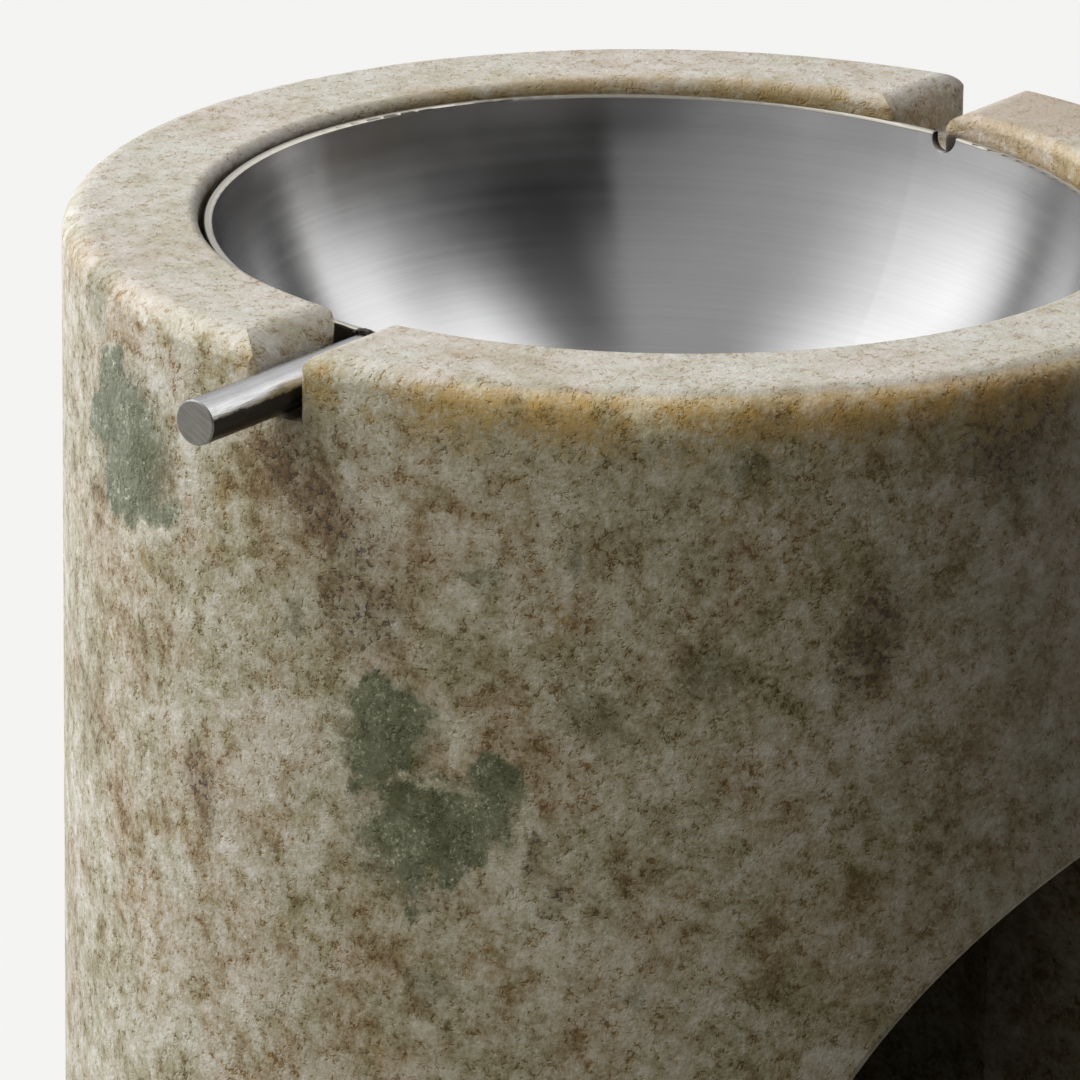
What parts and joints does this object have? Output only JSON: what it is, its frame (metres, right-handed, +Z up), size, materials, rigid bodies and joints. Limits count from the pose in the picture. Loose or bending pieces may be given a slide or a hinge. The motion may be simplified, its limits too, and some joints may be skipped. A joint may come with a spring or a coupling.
{
  "type": "essential oil burner",
  "caption": "Stone cylinder oil burner with a lift-out steel bowl on a rod handle, and an arched chamber below it for a tealight.",
  "frame": {"origin": "centre of the felt pad's underside, on the stone cylinder's axis", "axes": "+Z up, -Y out of the arch that the tealight slides through, -X along the rod handle towards its free end"},
  "size_m": [0.0884, 0.08, 0.091],
  "materials": {
    "stone": "honed mottled marble, taupe with ochre flecks and green-grey inclusions",
    "felt": "pressed wool felt",
    "spun_steel": "brushed round the bowl",
    "rod_steel": "drawn rod, brushed end",
    "weld": "matt weld bead",
    "cup_foil": "thin drawn sheet",
    "wax": "white candle wax, slightly translucent",
    "cotton": "braided cotton wick",
    "tinplate": "bright tinned sheet"
  },
  "bodies": {
    "stone": {"stone_body": "stone", "base_pad": "felt"},
    "bowl": {"oil_bowl": "spun_steel", "bowl_handle": "rod_steel", "handle_weld": "weld"},
    "candle": {"candle_cup": "cup_foil", "candle_wax": "wax", "candle_wick": "cotton", "wick_sustainer": "tinplate"}
  },
  "joints": [
    {"name": "bowl_lift", "type": "slide", "parent": "stone", "child": "bowl", "axis": [0, 0, 1], "range_m": [0, 0.06]},
    {"name": "candle_slide", "type": "slide", "parent": "stone", "child": "candle", "axis": [0, -1, 0], "range_m": [-0.006, 0.062]}
  ]
}
